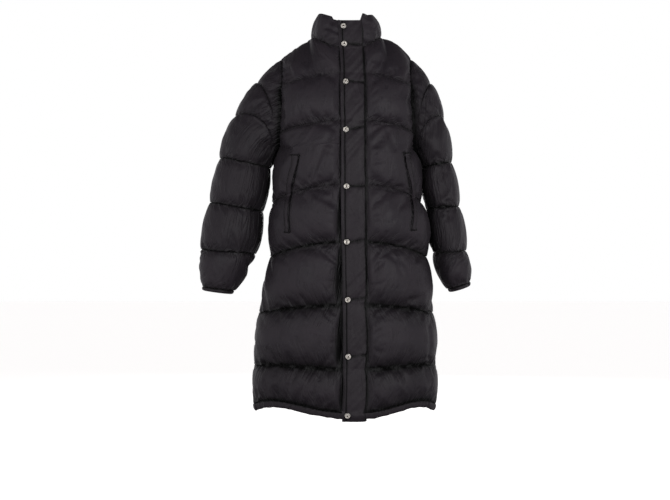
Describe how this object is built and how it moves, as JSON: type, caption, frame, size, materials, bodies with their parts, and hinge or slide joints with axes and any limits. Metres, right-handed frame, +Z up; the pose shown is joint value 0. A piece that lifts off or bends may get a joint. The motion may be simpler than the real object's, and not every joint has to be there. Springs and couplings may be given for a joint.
{
  "type": "long puffer coat",
  "caption": "Long quilted down coat in its worn, hollow form, with a stand collar, a snapped front flap, slanted hand pockets and gathered cuffs and hem.",
  "frame": {"origin": "the middle of the neck at shoulder height, where the wearer carries the coat", "axes": "+Z up; the wearer faces -Y, so the front opening is at -Y; +X is the wearer's left"},
  "size_m": [0.8224, 0.3283, 1.1977],
  "materials": {
    "shell": "plain woven nylon, down filled, soft sheen",
    "trim": "the same nylon, folded and gathered, unfilled",
    "snap": "nickel plated, lightly worn"
  },
  "bodies": {
    "root": {"front_right": "shell", "front_left": "shell", "back": "shell", "sleeve_right": "shell", "sleeve_left": "shell", "collar": "shell", "front_flap": "shell", "hem_right": "trim", "hem_left": "trim", "hem_back": "trim", "cuff_right": "trim", "cuff_left": "trim", "welt_right": "trim", "welt_left": "trim", "snap_1": "snap", "snap_2": "snap", "snap_3": "snap", "snap_4": "snap", "snap_5": "snap", "snap_6": "snap", "snap_7": "snap", "snap_8": "snap", "snap_9": "snap"}
  },
  "joints": []
}
